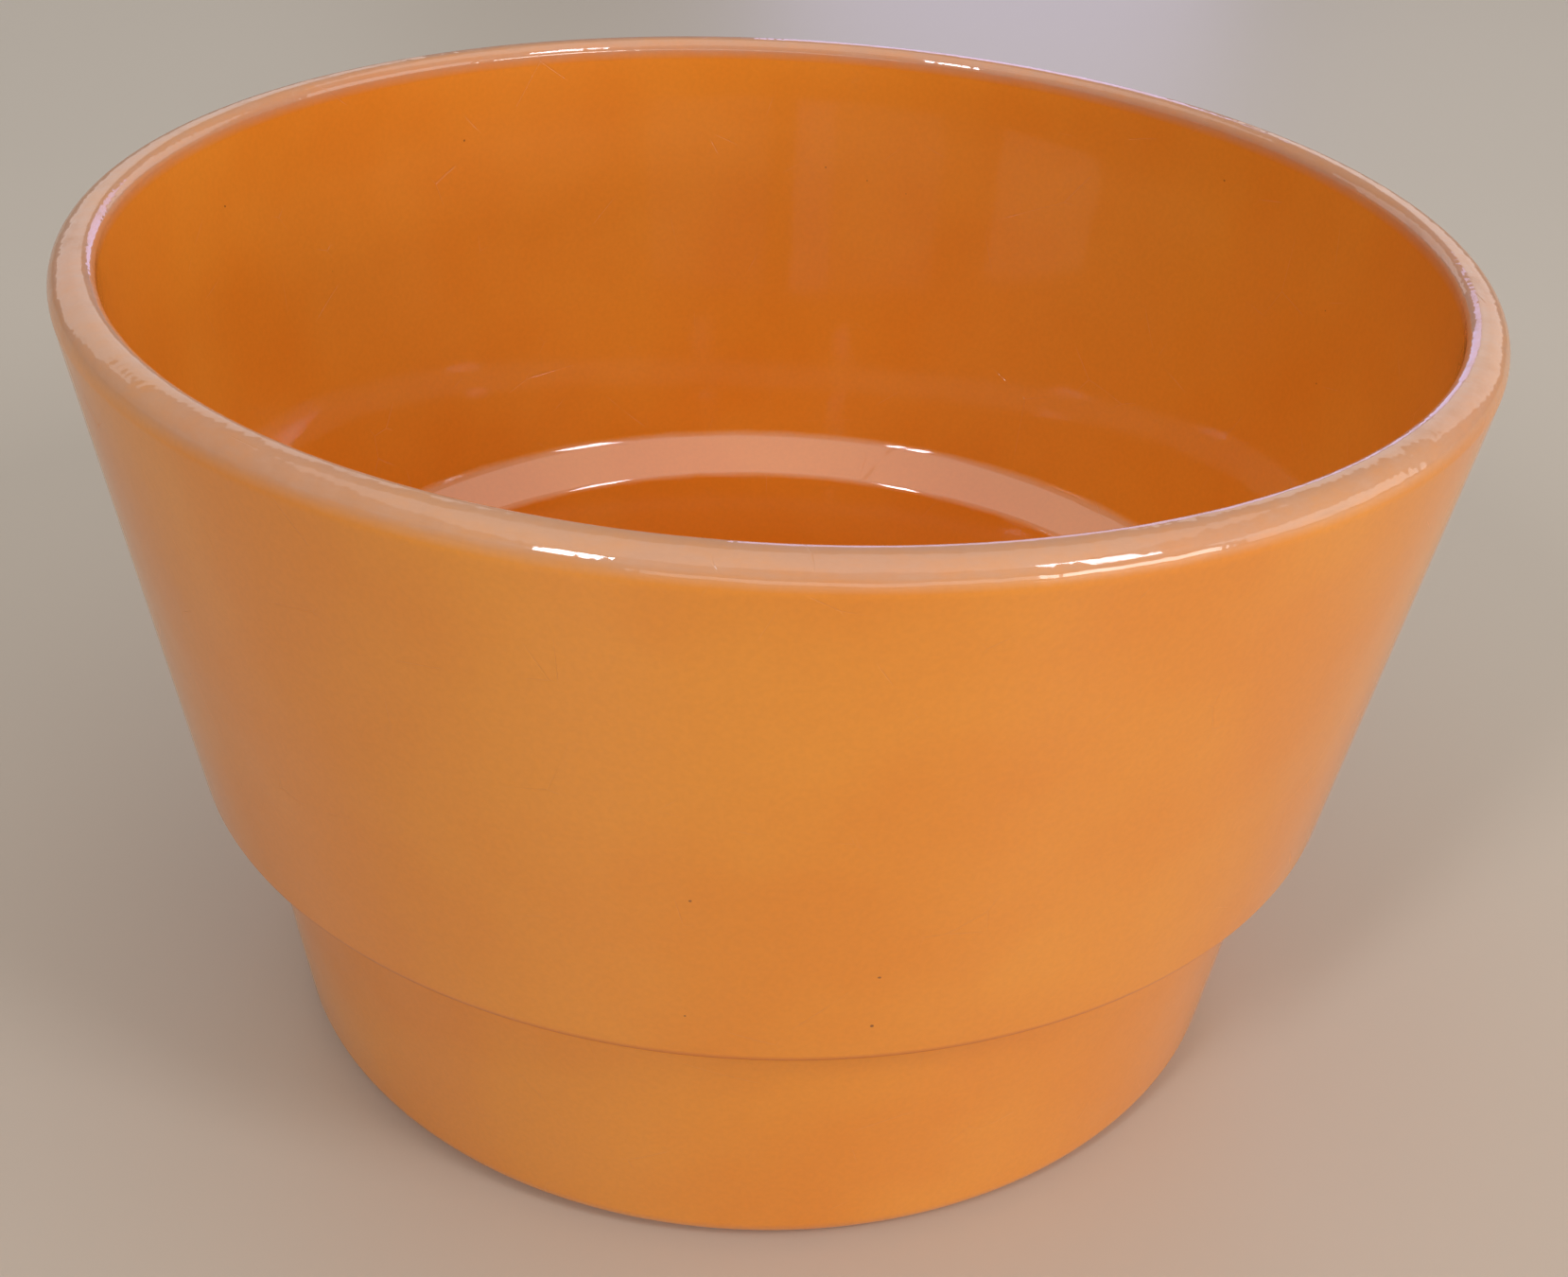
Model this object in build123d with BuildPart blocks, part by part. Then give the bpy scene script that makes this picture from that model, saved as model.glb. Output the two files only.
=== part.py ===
"""A stepped bowl with a narrower foot, moulded in one piece.

The bowl stands on the plane Z = 0 with its axis on Z, and its mouth opens towards +Z.
It is one skin of even thickness: a foot, a ledge that steps out, a tapered wall and a rounded rim.
Half of its section is drawn on the plane XZ, as radius and height, and is turned about Z.
"""
from build123d import *
from math import cos, radians, sin, tan
import os

# Overall sizes
rim_diameter = 190.0     # the widest point, just below the top of the rim
height = 116.0           # from the standing face to the top of the rim

# The skin
wall = 4.6               # tapered wall, ledge and side of the foot, square to each
floor_thickness = 5.0    # floor of the well, above the recess
rim_thickness = 5.6      # at the top, from the widest point inwards
rim_blend = 12.0         # height over which the thicker rim runs into the wall

# The outside
wall_draft = 9.6         # lean of the wall from upright, in degrees
neck_diameter = 153.0    # the crease where the ledge meets the foot
neck_height = 38.2       # height of that crease
ledge_slope = 35.0       # slope of the ledge from level, in degrees
foot_draft = 8.5         # lean of the side of the foot from upright, in degrees

# The underside
standing_ring = 6.0      # width of the flat ring that the bowl stands on
recess_depth = 2.0       # height of the recess inside that ring

# Roundings
rim_outer_round = 3.4
rim_inner_round = 1.9
rim_blend_round = 60.0
shoulder_round = 2.2
crease_round = 0.6
foot_round = 4.2
ledge_outer_round = 2.4
ledge_inner_round = 1.6
well_round = 7.0
recess_round = 1.5

wall_lean = radians(wall_draft)
foot_lean = radians(foot_draft)
ledge_lean = radians(ledge_slope)

# The wall's outer face touches the rim's outer round, whose outermost point is at the rim diameter.
rim_radius = rim_diameter / 2
wall_top_radius = rim_radius + rim_outer_round * ((1 + sin(wall_lean)) / cos(wall_lean) - 1)
neck_radius = neck_diameter / 2


def wall_radius(at_height, depth=0.0):
    """Radius of the wall at a height, at a depth inside its outer face."""
    return wall_top_radius - (height - at_height) * tan(wall_lean) - depth / cos(wall_lean)


def foot_radius(at_height, depth=0.0):
    """Radius of the side of the foot at a height, at a depth inside its outer face."""
    return neck_radius - (neck_height - at_height) * tan(foot_lean) - depth / cos(foot_lean)


def ledge_meets(side_radius, side_lean, depth):
    """The corner where a leaning side crosses the ledge, both at a depth inside their outer faces."""
    ledge_height_on_axis = neck_height - neck_radius * tan(ledge_lean) + depth / cos(ledge_lean)
    side_radius_on_floor = side_radius(0.0, depth)
    corner_height = (ledge_height_on_axis + side_radius_on_floor * tan(ledge_lean)) / (
        1 - tan(side_lean) * tan(ledge_lean))
    return (side_radius(corner_height, depth), corner_height)


# The corners of the section, before they are rounded, from the axis outwards and back
foot_corner = (foot_radius(0.0), 0.0)
ring_inner_corner = (foot_corner[0] - foot_round - standing_ring, 0.0)
recess_corner = (ring_inner_corner[0] - recess_depth, recess_depth)
recess_centre = (0.0, recess_depth)
crease = (neck_radius, neck_height)
shoulder = ledge_meets(wall_radius, wall_lean, 0.0)
rim_outer_corner = (wall_top_radius, height)
rim_inner_corner = (rim_radius - rim_thickness, height)
rim_blend_corner = (wall_radius(height - rim_blend, wall), height - rim_blend)
ledge_outer_corner = ledge_meets(wall_radius, wall_lean, wall)
ledge_inner_corner = ledge_meets(foot_radius, foot_lean, wall)
floor_height = recess_depth + floor_thickness
well_corner = (foot_radius(floor_height, wall), floor_height)
floor_centre = (0.0, floor_height)

rounds = [
    (recess_corner, recess_round),
    (ring_inner_corner, recess_round),
    (foot_corner, foot_round),
    (crease, crease_round),
    (shoulder, shoulder_round),
    (rim_outer_corner, rim_outer_round),
    (rim_inner_corner, rim_inner_round),
    (rim_blend_corner, rim_blend_round),
    (ledge_outer_corner, ledge_outer_round),
    (ledge_inner_corner, ledge_inner_round),
    (well_corner, well_round),
]

with BuildPart() as bowl:
    with BuildSketch(Plane.XZ) as section:
        with BuildLine():
            Polyline(
                recess_centre, recess_corner, ring_inner_corner, foot_corner, crease, shoulder,
                rim_outer_corner, rim_inner_corner, rim_blend_corner, ledge_outer_corner,
                ledge_inner_corner, well_corner, floor_centre, close=True,
            )
        make_face()
        for corner, radius in rounds:
            fillet(section.vertices().sort_by_distance((*corner, 0.0))[0], radius)
    revolve(axis=Axis.Z)

bowl.part.label = "bowl"
os.makedirs("parts", exist_ok=True)
export_step(bowl.part, "parts/bowl.step")
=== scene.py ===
"""A stepped bowl, moulded in one piece of orange melamine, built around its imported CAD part.

Everything is in metres, in the CAD part's frame: the bowl stands on Z = 0, with its axis on Z.
"""
import math
from collections import namedtuple

import bmesh
import bpy
from bpy.props import FloatProperty, FloatVectorProperty, IntProperty, PointerProperty
from bpy.types import NodeSocket, Operator, Panel, PropertyGroup
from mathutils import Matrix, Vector


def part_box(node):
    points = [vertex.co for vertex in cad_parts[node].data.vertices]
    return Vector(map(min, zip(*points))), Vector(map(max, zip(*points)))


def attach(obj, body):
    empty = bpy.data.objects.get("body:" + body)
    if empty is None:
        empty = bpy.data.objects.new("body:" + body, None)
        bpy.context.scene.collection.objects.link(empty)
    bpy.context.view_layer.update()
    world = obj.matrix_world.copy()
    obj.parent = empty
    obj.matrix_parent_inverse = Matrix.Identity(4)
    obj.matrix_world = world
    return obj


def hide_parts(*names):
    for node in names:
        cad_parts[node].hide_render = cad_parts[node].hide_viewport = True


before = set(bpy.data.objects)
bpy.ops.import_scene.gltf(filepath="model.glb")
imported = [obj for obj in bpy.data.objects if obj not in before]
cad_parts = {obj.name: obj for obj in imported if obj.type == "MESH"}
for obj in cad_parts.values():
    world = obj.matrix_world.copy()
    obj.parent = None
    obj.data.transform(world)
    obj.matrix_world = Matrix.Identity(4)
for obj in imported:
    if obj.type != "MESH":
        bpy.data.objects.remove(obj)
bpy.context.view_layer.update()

bl_info = {
    "name": "Stepped moulded bowl",
    "version": (1, 0, 0),
    "blender": (4, 5, 0),
    "location": "3D View > Sidebar > Bowl",
    "description": "Turns a stepped bowl, finishes it as moulded melamine and sets a studio stage for it",
    "category": "Add Mesh",
}

BOWL_LOW, BOWL_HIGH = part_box("bowl")

MM = 0.001
RING_SPACING = 8 * MM       # between the rings along a straight stretch of the section
SAME_PLACE = 0.02 * MM      # a corner this near a place is at that place
MERGE_DISTANCE = 0.001 * MM
DEGREES_A_STEP = 6.5        # how far a rounding turns from one of its rings to the next
FEWEST_STEPS = 3
SHARP_ANGLE = math.radians(40)

# One corner of the bowl's section: its distance from the axis, its height and the radius of its rounding
Corner = namedtuple("Corner", "radius height rounding")


def length(name, description, millimetres):
    """A property that holds a length, with its default in millimetres."""
    return FloatProperty(name=name, description=description, default=millimetres * MM, min=0.0,
                         unit="LENGTH")


def angle(name, description, degrees):
    """A property that holds an angle, with its default in degrees."""
    return FloatProperty(name=name, description=description, default=math.radians(degrees),
                         subtype="ANGLE")


def linear(colour):
    """A colour given as sRGB hex, such as E07B2C, as linear red, green and blue."""
    shares = (int(colour[place:place + 2], 16) / 255 for place in (0, 2, 4))
    return tuple(s / 12.92 if s <= 0.04045 else ((s + 0.055) / 1.055) ** 2.4 for s in shares)


def tint(name, description, colour):
    """A property that holds a colour, with its default as sRGB hex."""
    return FloatVectorProperty(name=name, description=description, default=linear(colour),
                               subtype="COLOR", min=0.0, max=1.0)


class BowlSizes(PropertyGroup):
    """The sizes of the bowl's section."""

    rim_diameter: FloatProperty(name="Rim diameter", description="The widest point, just below the top",
                                default=BOWL_HIGH.x - BOWL_LOW.x, unit="LENGTH")
    height: FloatProperty(name="Height", description="From the standing face to the top of the rim",
                          default=BOWL_HIGH.z, unit="LENGTH")
    wall: length("Wall", "Tapered wall, ledge and side of the foot, square to each", 4.6)
    floor_thickness: length("Floor", "Floor of the well, above the recess", 5.0)
    rim_thickness: length("Rim thickness", "At the top, from the widest point inwards", 5.6)
    rim_blend: length("Rim blend", "Height over which the thicker rim runs into the wall", 12.0)
    wall_draft: angle("Wall draft", "Lean of the wall from upright", 9.6)
    neck_diameter: length("Neck diameter", "The crease where the ledge meets the foot", 153.0)
    neck_height: length("Neck height", "Height of that crease", 38.2)
    ledge_slope: angle("Ledge slope", "Slope of the ledge from level", 35.0)
    foot_draft: angle("Foot draft", "Lean of the side of the foot from upright", 8.5)
    standing_ring: length("Standing ring", "Width of the flat ring that the bowl stands on", 6.0)
    recess_depth: length("Recess", "Height of the recess inside that ring", 2.0)
    rim_outer_round: length("Rim, outer round", "Radius of the rim's outer edge", 3.4)
    rim_inner_round: length("Rim, inner round", "Radius of the rim's inner edge", 1.9)
    rim_blend_round: length("Rim blend round", "Radius where the thicker rim runs into the wall", 60.0)
    shoulder_round: length("Shoulder round", "Radius where the wall turns in to the ledge, outside", 2.2)
    crease_round: length("Crease round", "Radius where the ledge meets the foot, outside", 0.6)
    foot_round: length("Foot round", "Radius of the foot's lower edge", 4.2)
    ledge_outer_round: length("Ledge, outer round", "Radius where the wall meets the ledge, inside", 2.4)
    ledge_inner_round: length("Ledge, inner round", "Radius where the ledge drops into the well", 1.6)
    well_round: length("Well round", "Radius between the well's side and its floor", 7.0)
    recess_round: length("Recess round", "Radius of the recess's two edges", 1.5)
    sides: IntProperty(name="Sides", description="Facets around the axis", default=224, min=24)


class BowlFinish(PropertyGroup):
    """The colours and the gloss of the moulded melamine, with painted shade, a painted reflection and a
    painted sheen among the colours.
    """

    body: tint("Body", "The melamine's own orange", "EA9127")
    body_deep: tint("Deeper body", "Where the pigment lies a little denser", "E6881F")
    # Wear and painted sheen: the pale tan on the rim is partly wear and partly painted reflected light. It
    # also colours the pale scratches.
    worn_and_sheen: tint("Wear and sheen", "Scratched and washed-out melamine", "C59E85")
    # Painted reflection: this pale colour on the ledge inside stands in for the light that the ledge
    # reflects.
    painted_ledge_reflection: tint("Ledge reflection", "Where spoons scrape the ledge", "E8C2AA")
    # Painted shade: a darker orange laid under the shoulder, outside, where the step shades the foot.
    shoulder_shade_colour: tint("Shoulder shade", "Where washing leaves a trace under the shoulder", "D8761A")
    speck: tint("Specks", "Burnt grains pressed in with the powder", "5B2A10")
    gloss: FloatProperty(name="Gloss roughness", description="Roughness of the mould's polish",
                         default=0.06, min=0.0, max=1.0)
    haze: FloatProperty(name="Haze roughness", description="Roughness of the sheen under the gloss",
                        default=0.5, min=0.0, max=1.0)


class BowlStage(PropertyGroup):
    """The floor, the lights and the camera."""

    floor: tint("Floor", "Plain pale floor", "C9BBA6")
    room: tint("Room", "Light from all round", "DCE0E6")
    room_strength: FloatProperty(name="Room light", description="Strength of the light from all round",
                                 default=0.24, min=0.0)
    soft_strength: FloatProperty(name="Soft light", description="Strength of the wide softboxes",
                                 default=1.0, min=0.0)
    window_strength: FloatProperty(name="Windows", description="Strength of the tall narrow softboxes",
                                   default=24.0, min=0.0)
    lens: FloatProperty(name="Lens", description="Focal length on a 36 mm wide sensor", default=47.1,
                        min=1.0)


def section_corners(s):
    """The corners of the section before they are rounded, by name, from the recess out and back in."""
    wall_lean = math.tan(s.wall_draft)
    foot_lean = math.tan(s.foot_draft)
    slope = math.tan(s.ledge_slope)
    # The wall's face touches the rim's round, whose outermost point is at the rim diameter.
    lean_over = (1 + math.sin(s.wall_draft)) / math.cos(s.wall_draft) - 1
    wall_top = s.rim_diameter / 2 + s.rim_outer_round * lean_over
    neck = s.neck_diameter / 2

    def wall_radius(height, depth):
        return wall_top - (s.height - height) * wall_lean - depth / math.cos(s.wall_draft)

    def foot_radius(height, depth):
        return neck - (s.neck_height - height) * foot_lean - depth / math.cos(s.foot_draft)

    def ledge_meets(side_radius, side_lean, depth):
        on_axis = s.neck_height - neck * slope + depth / math.cos(s.ledge_slope)
        height = (on_axis + side_radius(0.0, depth) * slope) / (1 - side_lean * slope)
        return side_radius(height, depth), height

    well_floor = s.recess_depth + s.floor_thickness
    foot = foot_radius(0.0, 0.0)
    ring_inner = foot - s.foot_round - s.standing_ring
    blend_height = s.height - s.rim_blend
    return {
        "recess": Corner(ring_inner - s.recess_depth, s.recess_depth, s.recess_round),
        "ring_inner": Corner(ring_inner, 0.0, s.recess_round),
        "foot": Corner(foot, 0.0, s.foot_round),
        "crease": Corner(neck, s.neck_height, s.crease_round),
        "shoulder": Corner(*ledge_meets(wall_radius, wall_lean, 0.0), s.shoulder_round),
        "rim_outer": Corner(wall_top, s.height, s.rim_outer_round),
        "rim_inner": Corner(s.rim_diameter / 2 - s.rim_thickness, s.height, s.rim_inner_round),
        "rim_blend": Corner(wall_radius(blend_height, s.wall), blend_height, s.rim_blend_round),
        "ledge_outer": Corner(*ledge_meets(wall_radius, wall_lean, s.wall), s.ledge_outer_round),
        "ledge_inner": Corner(*ledge_meets(foot_radius, foot_lean, s.wall), s.ledge_inner_round),
        "well": Corner(foot_radius(well_floor, s.wall), well_floor, s.well_round),
    }


def start_disc(name, corner, sides):
    """A flat disc on the axis, in edit mode with its edge selected, to draw a turned shape from."""
    bpy.ops.object.select_all(action="DESELECT")
    bpy.ops.mesh.primitive_circle_add(vertices=sides, radius=corner.radius, fill_type="NGON",
                                      location=(0, 0, corner.height))
    piece = bpy.context.object
    piece.name = name
    piece.data.name = name
    bpy.ops.object.transform_apply(location=True, rotation=True, scale=True)
    bpy.ops.object.mode_set(mode="EDIT")
    bpy.ops.mesh.select_mode(type="EDGE")
    bpy.ops.mesh.select_all(action="SELECT")
    return piece


def draw_ring(before, after):
    """Draws the selected ring of edges from one corner to the next, in even steps."""
    rings = max(1, round(math.dist(before[:2], after[:2]) / RING_SPACING))
    rise = (after.height - before.height) / rings
    for step in range(1, rings + 1):
        last_radius = before.radius + (after.radius - before.radius) * ((step - 1) / rings)
        radius = before.radius + (after.radius - before.radius) * (step / rings)
        grow = radius / last_radius
        bpy.ops.mesh.extrude_edges_move(TRANSFORM_OT_translate={"value": (0, 0, rise)})
        bpy.ops.transform.resize(value=(grow, grow, 1), center_override=(0, 0, 0))


def select_ring(piece, corner):
    """Selects the ring of edges at a corner of the section."""
    bpy.ops.mesh.select_all(action="DESELECT")
    mesh = bmesh.from_edit_mesh(piece.data)

    def there(point):
        return (abs(point.co.z - corner.height) < SAME_PLACE
                and abs(point.co.xy.length - corner.radius) < SAME_PLACE)

    found = [edge for edge in mesh.edges if all(there(point) for point in edge.verts)]
    if not found:
        raise RuntimeError(f"{piece.name} has no ring at {corner}")
    for edge in found:
        edge.select_set(True)
    bmesh.update_edit_mesh(piece.data)


def round_ring(piece, before, corner, after):
    """Rounds the ring at a corner to its radius, between the points of the section on its two sides."""
    turn_in = Vector((corner.radius - before.radius, corner.height - before.height))
    turn_out = Vector((after.radius - corner.radius, after.height - corner.height))
    turn = turn_in.angle(turn_out)
    select_ring(piece, corner)
    bpy.ops.mesh.bevel(
        offset_type="OFFSET", offset=corner.rounding * math.tan(turn / 2), affect="EDGES", profile=0.5,
        segments=max(FEWEST_STEPS, math.ceil(math.degrees(turn) / DEGREES_A_STEP)),
        clamp_overlap=False, loop_slide=True)


def close_disc(piece, corner):
    """Closes the ring at a corner with a flat disc: seven rings, each 13% of the radius wide, and a pole."""
    rings = 7
    ring_width = corner.radius * 0.13
    select_ring(piece, corner)
    bpy.ops.mesh.edge_face_add()
    bpy.ops.mesh.select_mode(type="FACE")
    mesh = bmesh.from_edit_mesh(piece.data)
    # The new face is the only level one at this height with more than four corners.
    for face in mesh.faces:
        level = abs(face.calc_center_median().z - corner.height) < SAME_PLACE
        face.select_set(level and len(face.verts) > 4)
    bmesh.update_edit_mesh(piece.data)
    for _ in range(rings):
        bpy.ops.mesh.inset(thickness=ring_width, depth=0)
    bpy.ops.mesh.poke()
    bpy.ops.mesh.select_mode(type="EDGE")


def finish_mesh(piece):
    """Merges doubles, turns every face outwards and smooths all but the sharp edges."""
    bpy.ops.mesh.select_all(action="SELECT")
    bpy.ops.mesh.remove_doubles(threshold=MERGE_DISTANCE)
    bpy.ops.mesh.normals_make_consistent(inside=False)
    bpy.ops.object.mode_set(mode="OBJECT")
    bpy.ops.object.shade_smooth_by_angle(angle=SHARP_ANGLE)
    bpy.ops.object.modifier_add(type="WEIGHTED_NORMAL")
    piece.modifiers[-1].keep_sharp = True
    bpy.ops.object.modifier_apply(modifier=piece.modifiers[-1].name)


def add_node(material, kind, inputs=None, **settings):
    """Adds one node with its settings. Each input is a value, or another node's output to link from."""
    tree = material.node_tree
    new = tree.nodes.new("ShaderNode" + kind)
    for name, value in settings.items():
        setattr(new, name, value)
    for socket, value in (inputs or {}).items():
        if isinstance(value, NodeSocket):
            tree.links.new(value, new.inputs[socket])
        else:
            new.inputs[socket].default_value = value
    return new


def fresh_material(name):
    """An empty node material."""
    material = bpy.data.materials.new(name)
    material.use_nodes = True
    material.node_tree.nodes.clear()
    return material


def per_metre(millimetres):
    """A texture scale that gives features of this size, since the textures read metres.

    The sizes in the functions that follow are in millimetres, unless they are multiplied by MM.
    """
    return 1 / (millimetres * MM)


def outside_share(m, coordinates, sizes):
    """1 where the face looks away from the axis, and 0 where it looks in, up or down."""
    fully_outside = 0.1 * sizes.rim_diameter / 2
    from_axis = add_node(m, "Mapping", {"Vector": coordinates.outputs["Object"], "Scale": (1, 1, 0)})
    facing = add_node(m, "VectorMath", {0: from_axis.outputs[0], 1: coordinates.outputs["Normal"]},
                      operation="DOT_PRODUCT")
    return add_node(m, "MapRange", {"Value": facing.outputs["Value"], "From Min": 0.0,
                                    "From Max": fully_outside}).outputs[0]


def pigment(m, place, finish):
    """The melamine's own orange: slow clouds of denser pigment, and a fine grain."""
    cloud_size = 40
    grain_size = 0.7
    darkest_grain = 0.975
    lightest_grain = 1.02
    clouds = add_node(m, "TexNoise", {"Vector": place, "Scale": per_metre(cloud_size), "Detail": 3.0,
                                      "Roughness": 0.5})
    denser = add_node(m, "MapRange", {"Value": clouds.outputs["Fac"], "From Min": 0.38, "From Max": 0.62})
    clouded = add_node(m, "Mix", {"Factor": denser.outputs[0], "A": (*finish.body, 1),
                                  "B": (*finish.body_deep, 1)}, data_type="RGBA")
    grains = add_node(m, "TexNoise", {"Vector": place, "Scale": per_metre(grain_size), "Detail": 1.0})
    grain_light = add_node(m, "MapRange", {"Value": grains.outputs["Fac"], "From Min": 0.3,
                                           "From Max": 0.7, "To Min": darkest_grain,
                                           "To Max": lightest_grain})
    return add_node(m, "VectorMath", {0: clouded.outputs["Result"], "Scale": grain_light.outputs[0]},
                    operation="SCALE").outputs["Vector"]


def burnt_specks(m, place, colour, finish):
    """Burnt grains on a colour: at most one in each cell, of uneven sizes, with a ragged edge."""
    cell = 7.0
    empty_cells = 0.35
    largest_radius = 0.3
    raggedness = 0.14
    ragged_size = 0.35
    soft_edge = 0.1
    darkness = 0.75
    cells = add_node(m, "TexVoronoi", {"Vector": place, "Scale": per_metre(cell)})
    lot = add_node(m, "SeparateColor", {"Color": cells.outputs["Color"]})
    reach = add_node(m, "MapRange", {"Value": lot.outputs["Red"], "From Min": empty_cells, "From Max": 1.0,
                                     "To Min": 0.0, "To Max": largest_radius / cell})
    ragged = add_node(m, "TexNoise", {"Vector": place, "Scale": per_metre(ragged_size), "Detail": 1.0})
    ragged_gap = add_node(m, "MapRange", {"Value": ragged.outputs["Fac"], "To Min": -raggedness / cell,
                                          "To Max": raggedness / cell})
    gap = add_node(m, "Math", {0: cells.outputs["Distance"], 1: ragged_gap.outputs[0]}, operation="ADD")
    covered = add_node(m, "Math", {0: reach.outputs[0], 1: gap.outputs[0]}, operation="SUBTRACT")
    speck = add_node(m, "MapRange", {"Value": covered.outputs[0], "From Min": 0.0,
                                     "From Max": soft_edge / cell, "To Min": 0.0, "To Max": darkness})
    return add_node(m, "Mix", {"Factor": speck.outputs[0], "A": colour, "B": (*finish.speck, 1)},
                    data_type="RGBA").outputs["Result"]


def shoulder_shade_share(m, height, outside, shoulder, sizes):
    """Painted shade on the underside of the step, outside only, where the shoulder overhangs the foot.

    It fades in round the shoulder's edge, and fades out in the top 1.5 mm of the foot.
    """
    below_shoulder = add_node(m, "MapRange", {"Value": height, "From Min": shoulder.height + 1.0 * MM,
                                              "From Max": shoulder.height - 0.2 * MM})
    above_foot = add_node(m, "MapRange", {"Value": height, "From Min": sizes.neck_height - 1.5 * MM,
                                          "From Max": sizes.neck_height})
    under_step = add_node(m, "Math", {0: below_shoulder.outputs[0], 1: above_foot.outputs[0]},
                          operation="MULTIPLY")
    return add_node(m, "Math", {0: under_step.outputs[0], 1: outside}, operation="MULTIPLY").outputs[0]


def scratch_share(m, place):
    """Scratches: straight hairlines on the borders of cells, kept only in short runs."""
    cell = 16
    half_width = 0.07
    full_depth_half_width = 0.03
    run_length = 9
    borders = add_node(m, "TexVoronoi", {"Vector": place, "Scale": per_metre(cell)},
                       feature="DISTANCE_TO_EDGE")
    line = add_node(m, "MapRange", {"Value": borders.outputs["Distance"], "From Min": half_width / cell,
                                    "From Max": full_depth_half_width / cell})
    runs = add_node(m, "TexNoise", {"Vector": place, "Scale": per_metre(run_length), "Detail": 1.0})
    run = add_node(m, "MapRange", {"Value": runs.outputs["Fac"], "From Min": 0.58, "From Max": 0.66})
    return add_node(m, "Math", {0: line.outputs[0], 1: run.outputs[0]}, operation="MULTIPLY").outputs[0]


def wear_patches(m, place):
    """Uneven wear, in patches that are longer round the bowl than they are high."""
    patch_length = 6
    lengths_to_height = 4
    flattened = add_node(m, "Mapping", {"Vector": place, "Scale": (1, 1, lengths_to_height)})
    return add_node(m, "TexNoise", {"Vector": flattened.outputs[0], "Scale": per_metre(patch_length),
                                    "Detail": 4.0, "Roughness": 0.65}).outputs["Fac"]


def ledge_reflection_share(m, height, outside, patches, top, edge):
    """A pale painted reflection on the ledge inside, from its top down to the edge of the well."""
    unevenness = 0.8 * MM
    fade = 0.9 * MM
    overrun = 0.1 * MM
    paleness = 0.25
    inside = add_node(m, "MapRange", {"Value": outside, "To Min": 1.0, "To Max": 0.0})
    uneven = add_node(m, "MapRange", {"Value": patches, "To Min": -unevenness, "To Max": unevenness})
    uneven_height = add_node(m, "Math", {0: height, 1: uneven.outputs[0]}, operation="ADD")
    above_edge = add_node(m, "MapRange", {"Value": uneven_height.outputs[0],
                                          "From Min": edge.height - fade,
                                          "From Max": edge.height + overrun})
    below_top = add_node(m, "MapRange", {"Value": uneven_height.outputs[0],
                                         "From Min": top.height + fade,
                                         "From Max": top.height - overrun})
    on_ledge = add_node(m, "Math", {0: above_edge.outputs[0], 1: below_top.outputs[0]},
                        operation="MULTIPLY")
    inner_ledge = add_node(m, "Math", {0: on_ledge.outputs[0], 1: inside.outputs[0]}, operation="MULTIPLY")
    return add_node(m, "Math", {0: inner_ledge.outputs[0], 1: paleness}, operation="MULTIPLY").outputs[0]


def wear_and_sheen_share(m, on_rim, patches, scratch):
    """The rim is washed out and pale, and palest in its patches: partly wear, partly a painted sheen of
    reflected light. Scratches are a little pale.
    """
    scratch_paleness = 0.12
    least_pale = 0.45
    most_pale = 0.7
    pale_rim = add_node(m, "MapRange", {"Value": patches, "From Min": 0.3, "From Max": 0.7,
                                        "To Min": least_pale, "To Max": most_pale})
    rim_wear_and_sheen = add_node(m, "Math", {0: on_rim, 1: pale_rim.outputs[0]}, operation="MULTIPLY")
    pale_scratch = add_node(m, "Math", {0: scratch, 1: scratch_paleness}, operation="MULTIPLY")
    return add_node(m, "Math", {0: pale_scratch.outputs[0], 1: rim_wear_and_sheen.outputs[0]},
                    operation="MAXIMUM").outputs[0]


def haze_roughness(m, place, finish):
    """Years of fine wiping scratches scatter a broad, faint sheen under the gloss, in slow clouds."""
    cloud_size = 30
    least_haze = finish.haze * 0.85
    most_haze = finish.haze * 1.2
    wiping = add_node(m, "TexNoise", {"Vector": place, "Scale": per_metre(cloud_size), "Detail": 4.0,
                                      "Roughness": 0.6})
    return add_node(m, "MapRange", {"Value": wiping.outputs["Fac"], "From Min": 0.35, "From Max": 0.7,
                                    "To Min": least_haze, "To Max": most_haze}).outputs[0]


def polish_share(m, outside, on_rim, patches, scratch, shoulder_shade):
    """The mould's polish, most of it lost in scratches, in the painted shade band under the shoulder and in
    the rim's patches.

    Hands and dishcloths have taken a fifth of it off the outside.
    """
    left_in_marks = 0.35
    left_outside = 0.8
    patch = add_node(m, "MapRange", {"Value": patches, "From Min": 0.54, "From Max": 0.72})
    rim_wear = add_node(m, "Math", {0: on_rim, 1: patch.outputs[0]}, operation="MULTIPLY")
    marks = add_node(m, "Math", {0: scratch, 1: shoulder_shade}, operation="MAXIMUM")
    dull_spots = add_node(m, "Math", {0: marks.outputs[0], 1: rim_wear.outputs[0]}, operation="MAXIMUM")
    moulded = add_node(m, "MapRange", {"Value": dull_spots.outputs[0], "To Min": 1.0,
                                       "To Max": left_in_marks})
    handled = add_node(m, "MapRange", {"Value": outside, "To Min": 1.0, "To Max": left_outside})
    return add_node(m, "Math", {0: moulded.outputs[0], 1: handled.outputs[0]},
                    operation="MULTIPLY").outputs[0]


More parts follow.
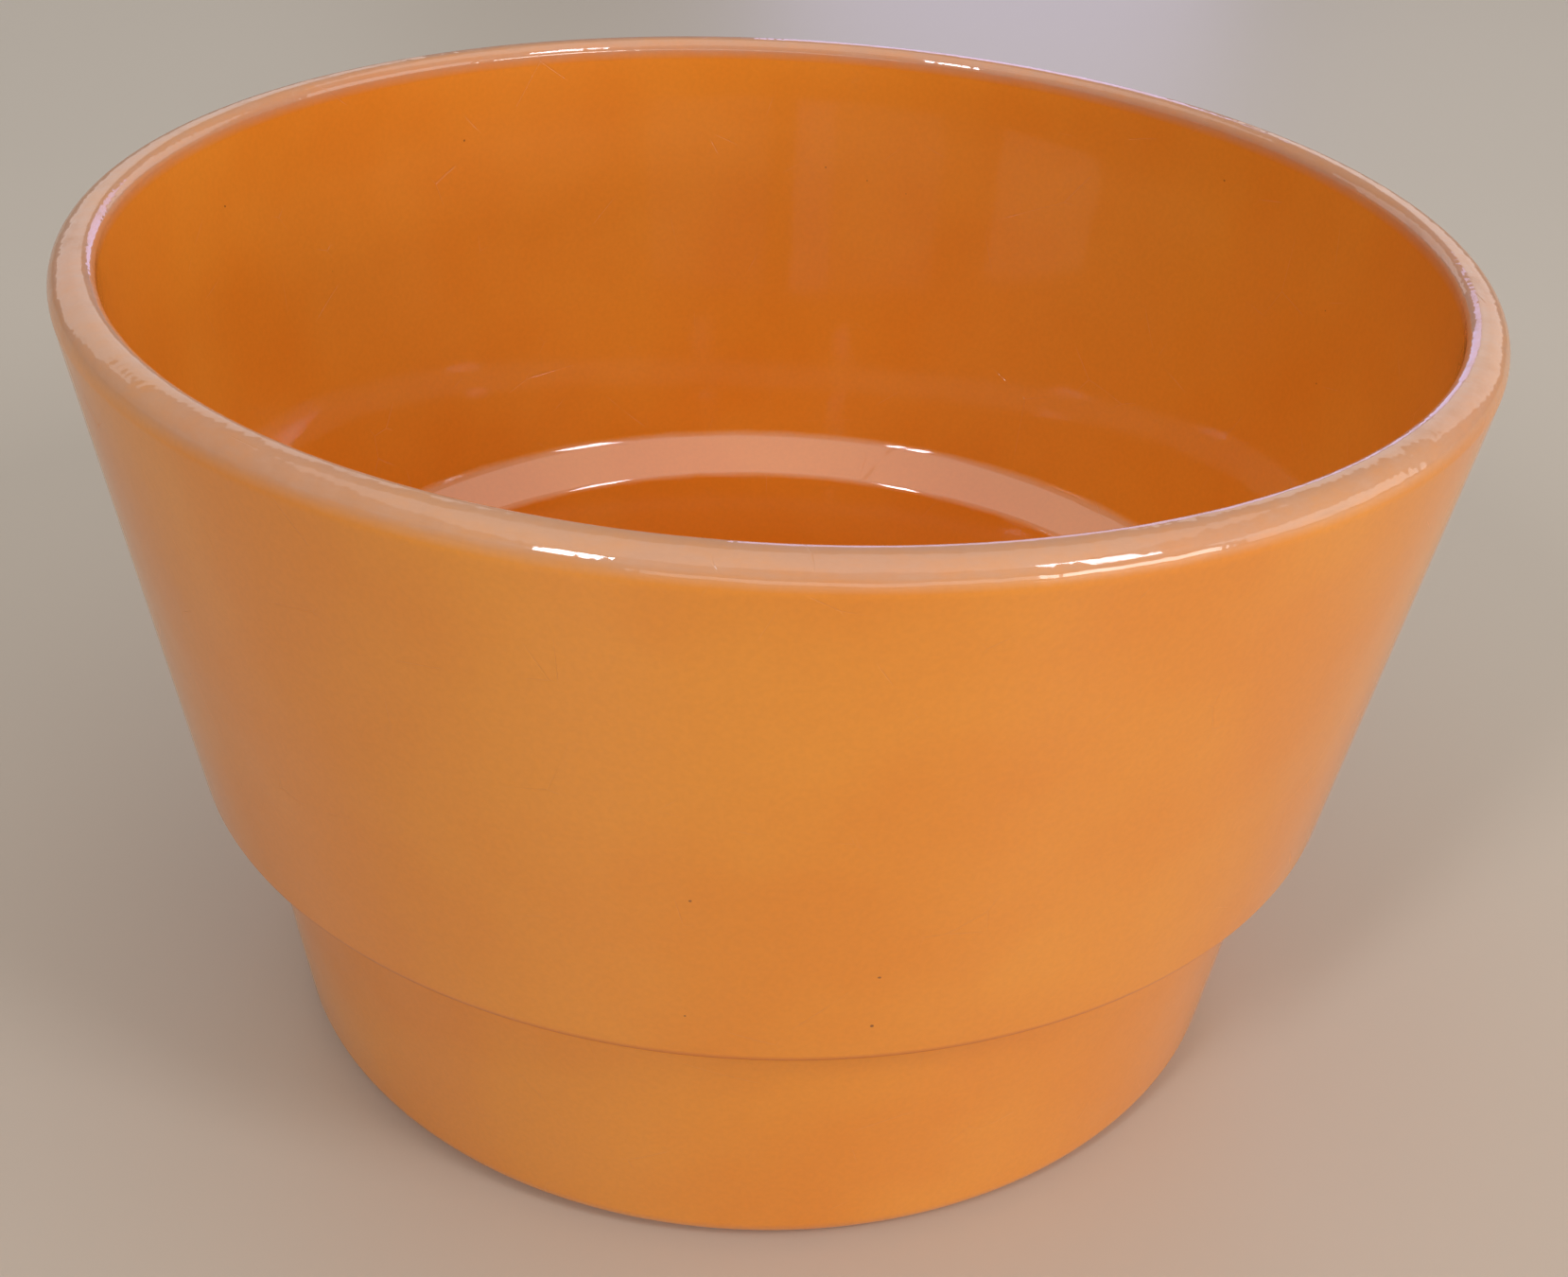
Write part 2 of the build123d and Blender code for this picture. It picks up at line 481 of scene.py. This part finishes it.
def relief(m, place, on_rim, scratch):
    """The surface's relief, as real heights: the mould's ripple, the hand-dressed rim and scratches."""
    ripple_size = 9
    ripple_height = 0.02 * MM
    dressing_size = 4
    dressing_height = 0.17 * MM
    scratch_depth = 0.02 * MM
    ripple = add_node(m, "TexNoise", {"Vector": place, "Scale": per_metre(ripple_size), "Detail": 1.5,
                                      "Roughness": 0.4})
    rippled = add_node(m, "Bump", {"Height": ripple.outputs["Fac"], "Strength": 1.0,
                                   "Distance": ripple_height})
    # A file and a cloth are drawn across the rim, so their marks are longer in height than round it.
    across_rim = add_node(m, "Mapping", {"Vector": place, "Scale": (1, 1, 0.3)})
    dressing = add_node(m, "TexNoise", {"Vector": across_rim.outputs[0],
                                        "Scale": per_metre(dressing_size), "Detail": 2.0,
                                        "Roughness": 0.5})
    dressed_height = add_node(m, "Math", {0: dressing.outputs["Fac"], 1: on_rim}, operation="MULTIPLY")
    dressed = add_node(m, "Bump", {"Height": dressed_height.outputs[0], "Strength": 1.0,
                                   "Distance": dressing_height, "Normal": rippled.outputs[0]})
    return add_node(m, "Bump", {"Height": scratch, "Strength": 1.0, "Distance": scratch_depth,
                                "Normal": dressed.outputs[0]}, invert=True).outputs[0]


def moulded_melamine(finish, sizes):
    """Orange melamine, pressed from powder in a polished mould and used for years.

    The mould leaves a clear gloss with a faint ripple. The flash at the rim was dressed off by hand, so
    reflections there wander and break up. Washing and stacking leave dull patches and fine scratches,
    and a few burnt grains show as dark specks. Painted shade darkens a band under the shoulder outside,
    a painted pale reflection lies on the ledge inside, and the rim's pale wear also holds a painted sheen.
    """
    m = fresh_material("moulded_melamine")
    corners = section_corners(sizes)
    coordinates = add_node(m, "TexCoord")
    place = coordinates.outputs["Object"]
    height = add_node(m, "SeparateXYZ", {0: place}).outputs["Z"]
    outside = outside_share(m, coordinates, sizes)
    # The rim's wear, and the painted sheen on it, come in from 3.2 to 1.6 mm below its top.
    on_rim = add_node(m, "MapRange", {"Value": height, "From Min": sizes.height - 3.2 * MM,
                                      "From Max": sizes.height - 1.6 * MM}).outputs[0]
    patches = wear_patches(m, place)
    scratch = scratch_share(m, place)
    shoulder_shade = shoulder_shade_share(m, height, outside, corners["shoulder"], sizes)
    ledge_reflection = ledge_reflection_share(m, height, outside, patches, corners["ledge_outer"],
                               corners["ledge_inner"])

    # The colour is laid up in layers: pressed orange, then painted shade under the shoulder, a painted
    # reflection on the ledge, and wear with a painted sheen.
    pressed = burnt_specks(m, place, pigment(m, place, finish), finish)
    # Painted shade: darker orange under the shoulder, outside.
    shoulder_shaded = add_node(m, "Mix", {"Factor": shoulder_shade, "A": pressed, "B": (*finish.shoulder_shade_colour, 1)},
                      data_type="RGBA")
    # Painted reflection: the ledge inside is made pale.
    painted_ledge_reflection = add_node(m, "Mix", {"Factor": ledge_reflection, "A": shoulder_shaded.outputs["Result"],
                                  "B": (*finish.painted_ledge_reflection, 1)}, data_type="RGBA")
    # Wear with a painted sheen on the rim, and pale scratches.
    colour = add_node(m, "Mix", {"Factor": wear_and_sheen_share(m, on_rim, patches, scratch),
                                 "A": painted_ledge_reflection.outputs["Result"], "B": (*finish.worn_and_sheen, 1)},
                      data_type="RGBA")

    # Melamine's IOR is about 1.6. Its resin-rich skin is the coat, set a little higher to match its
    # bright glints, and the haze beneath reflects weakly.
    bumps = relief(m, place, on_rim, scratch)
    shader = add_node(m, "BsdfPrincipled", {
        "Base Color": colour.outputs["Result"], "Roughness": haze_roughness(m, place, finish),
        "IOR": 1.6, "Specular IOR Level": 0.15,
        "Coat Weight": polish_share(m, outside, on_rim, patches, scratch, shoulder_shade),
        "Coat Roughness": finish.gloss, "Coat IOR": 1.7, "Normal": bumps, "Coat Normal": bumps})
    add_node(m, "OutputMaterial", {"Surface": shader.outputs[0]})
    return m


class BOWL_OT_turn(Operator):
    """Turns the bowl's one moulded skin and gives it its finish"""

    bl_idname = "bowl.turn"
    bl_label = "Moulded bowl"
    bl_options = {"REGISTER", "UNDO"}

    def execute(self, context):
        sizes = context.scene.bowl_sizes
        corners = list(section_corners(sizes).values())
        recess, well = corners[0], corners[-1]
        piece = start_disc("melamine_bowl", recess, sizes.sides)
        for before, after in zip(corners, corners[1:]):
            draw_ring(before, after)
        close_disc(piece, well)
        path = [recess._replace(radius=0.0), *corners, well._replace(radius=0.0)]
        for before, corner, after in zip(path, path[1:], path[2:]):
            round_ring(piece, before, corner, after)
        finish_mesh(piece)
        piece.data.materials.append(moulded_melamine(context.scene.bowl_finish, sizes))
        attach(piece, "root")
        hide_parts("bowl")
        return {"FINISHED"}


def painted_board(colour):
    """Plain pale studio floor, board painted with a roller, which leaves a soft sheen."""
    cloud_size = 250
    m = fresh_material("painted_board")
    place = add_node(m, "TexCoord").outputs["Object"]
    clouds = add_node(m, "TexNoise", {"Vector": place, "Scale": per_metre(cloud_size), "Detail": 2.0})
    shade = add_node(m, "MapRange", {"Value": clouds.outputs["Fac"], "To Min": 0.97, "To Max": 1.03})
    painted = add_node(m, "VectorMath", {0: tuple(colour), "Scale": shade.outputs[0]}, operation="SCALE")
    shader = add_node(m, "BsdfPrincipled", {"Base Color": painted.outputs["Vector"], "Roughness": 0.42})
    add_node(m, "OutputMaterial", {"Surface": shader.outputs[0]})
    return m


def lay_floor(stage):
    """Lays the floor, 8 m across, under the bowl."""
    bpy.ops.object.select_all(action="DESELECT")
    bpy.ops.mesh.primitive_plane_add(size=8, location=(0, 0, 0))
    floor = bpy.context.object
    floor.name = "studio_floor"
    floor.data.materials.append(painted_board(stage.floor))


def light_room(scene, stage):
    """Fills the room with plain light from all round."""
    world = bpy.data.worlds.new("studio_room")
    world.use_nodes = True
    background = world.node_tree.nodes["Background"]
    background.inputs["Color"].default_value = (*stage.room, 1)
    background.inputs["Strength"].default_value = stage.room_strength
    scene.world = world


def softbox(name, azimuth, elevation, distance, size, brightness, colour):
    """A soft panel light that faces the middle of the bowl.

    Azimuth is in degrees round from the camera's side, to its right. Brightness is the panel's radiance.
    """
    middle = Vector((0, 0, (BOWL_LOW.z + BOWL_HIGH.z) / 2))
    around = math.radians(azimuth)
    up = math.radians(elevation)
    outward = Vector((math.sin(around) * math.cos(up), -math.cos(around) * math.cos(up), math.sin(up)))
    bpy.ops.object.light_add(type="AREA", location=middle + outward * distance)
    panel = bpy.context.object
    panel.name = name
    panel.rotation_euler = outward.to_track_quat("Z", "Y").to_euler()
    panel.visible_camera = False
    light = panel.data
    light.name = name
    light.shape = "RECTANGLE"
    light.size, light.size_y = size
    light.color = linear(colour)
    light.energy = brightness * math.pi * size[0] * size[1]


def hang_softboxes(stage):
    """Hangs the wide soft panels, and the tall narrow ones that glint on the rim as windows do."""
    warm_white = "FFFAF4"
    cool_white = "F6F6F8"
    side_white = "FAF8F4"
    far_white = "F6F4F4"
    lilac = "CFC8FF"
    daylight = "F0F2FF"
    soft = stage.soft_strength
    tall = stage.window_strength
    pane_brightness = 0.7 * tall
    softbox("overhead_softbox", 0, 88, 1.5, (2.1, 2.1), 0.80 * soft, cool_white)
    # The front panels are low, so that the inside doesn't mirror them.
    softbox("front_softbox", 14, 6, 1.7, (2.2, 0.36), 1.55 * soft, warm_white)
    softbox("front_right_softbox", 50, 6, 1.7, (0.8, 0.32), 7.3 * soft, warm_white)
    softbox("side_softbox", 85, 14, 1.8, (1.2, 0.8), 1.5 * soft, side_white)
    softbox("far_softbox", 174, 13, 1.8, (0.45, 0.8), 1.8 * soft, lilac)
    softbox("far_left_softbox", 214, 20, 1.8, (1.4, 0.8), 0.75 * soft, far_white)
    softbox("far_right_softbox", 146, 20, 1.8, (1.2, 0.8), 0.9 * soft, far_white)
    softbox("left_window", -32, 36, 1.6, (0.20, 0.45), tall, daylight)
    for pane in (48.0, 52.5, 57.0):
        softbox(f"right_window_{pane:.0f}", pane, 39, 1.6, (0.09, 0.45), pane_brightness, daylight)


def set_camera(scene, stage):
    """Sets the camera above the bowl's near side, looking down into it and rolled a little."""
    place = (0, -0.2644, 0.2114)
    turn = [math.radians(degrees) for degrees in (61.58, -3.84, -1.23)]
    bpy.ops.object.camera_add(location=place, rotation=turn)
    camera = bpy.context.object
    camera.name = "studio_camera"
    camera.data.sensor_width = 36
    camera.data.lens = stage.lens
    camera.data.shift_x = -0.0649
    camera.data.shift_y = -0.0665
    camera.data.clip_start = 0.01
    scene.camera = camera
    scene.view_settings.view_transform = "Standard"


class BOWL_OT_stage(Operator):
    """Lays the pale floor and sets the soft lights and the camera"""

    bl_idname = "bowl.stage"
    bl_label = "Stage"
    bl_options = {"REGISTER", "UNDO"}

    def execute(self, context):
        stage = context.scene.bowl_stage
        lay_floor(stage)
        light_room(context.scene, stage)
        hang_softboxes(stage)
        set_camera(context.scene, stage)
        return {"FINISHED"}


class BOWL_PT_panel(Panel):
    """The bowl's sizes, finish and stage"""

    bl_idname = "BOWL_PT_panel"
    bl_label = "Stepped bowl"
    bl_space_type = "VIEW_3D"
    bl_region_type = "UI"
    bl_category = "Bowl"

    def draw(self, context):
        for group, operator in (
            (context.scene.bowl_sizes, BOWL_OT_turn.bl_idname),
            (context.scene.bowl_finish, None),
            (context.scene.bowl_stage, BOWL_OT_stage.bl_idname),
        ):
            box = self.layout.box()
            for name in group.__annotations__:
                box.prop(group, name)
            if operator:
                box.operator(operator)


CLASSES = (BowlSizes, BowlFinish, BowlStage, BOWL_OT_turn, BOWL_OT_stage, BOWL_PT_panel)


def register():
    """Registers the classes and hangs the settings on the scene."""
    for each in CLASSES:
        bpy.utils.register_class(each)
    bpy.types.Scene.bowl_sizes = PointerProperty(type=BowlSizes)
    bpy.types.Scene.bowl_finish = PointerProperty(type=BowlFinish)
    bpy.types.Scene.bowl_stage = PointerProperty(type=BowlStage)


def unregister():
    """Takes the settings off the scene and unregisters the classes."""
    del bpy.types.Scene.bowl_stage
    del bpy.types.Scene.bowl_finish
    del bpy.types.Scene.bowl_sizes
    for each in reversed(CLASSES):
        bpy.utils.unregister_class(each)


def main():
    """Builds the bowl and its stage."""
    register()
    bpy.ops.bowl.turn()
    bpy.ops.bowl.stage()


if __name__ == "__main__":
    main()
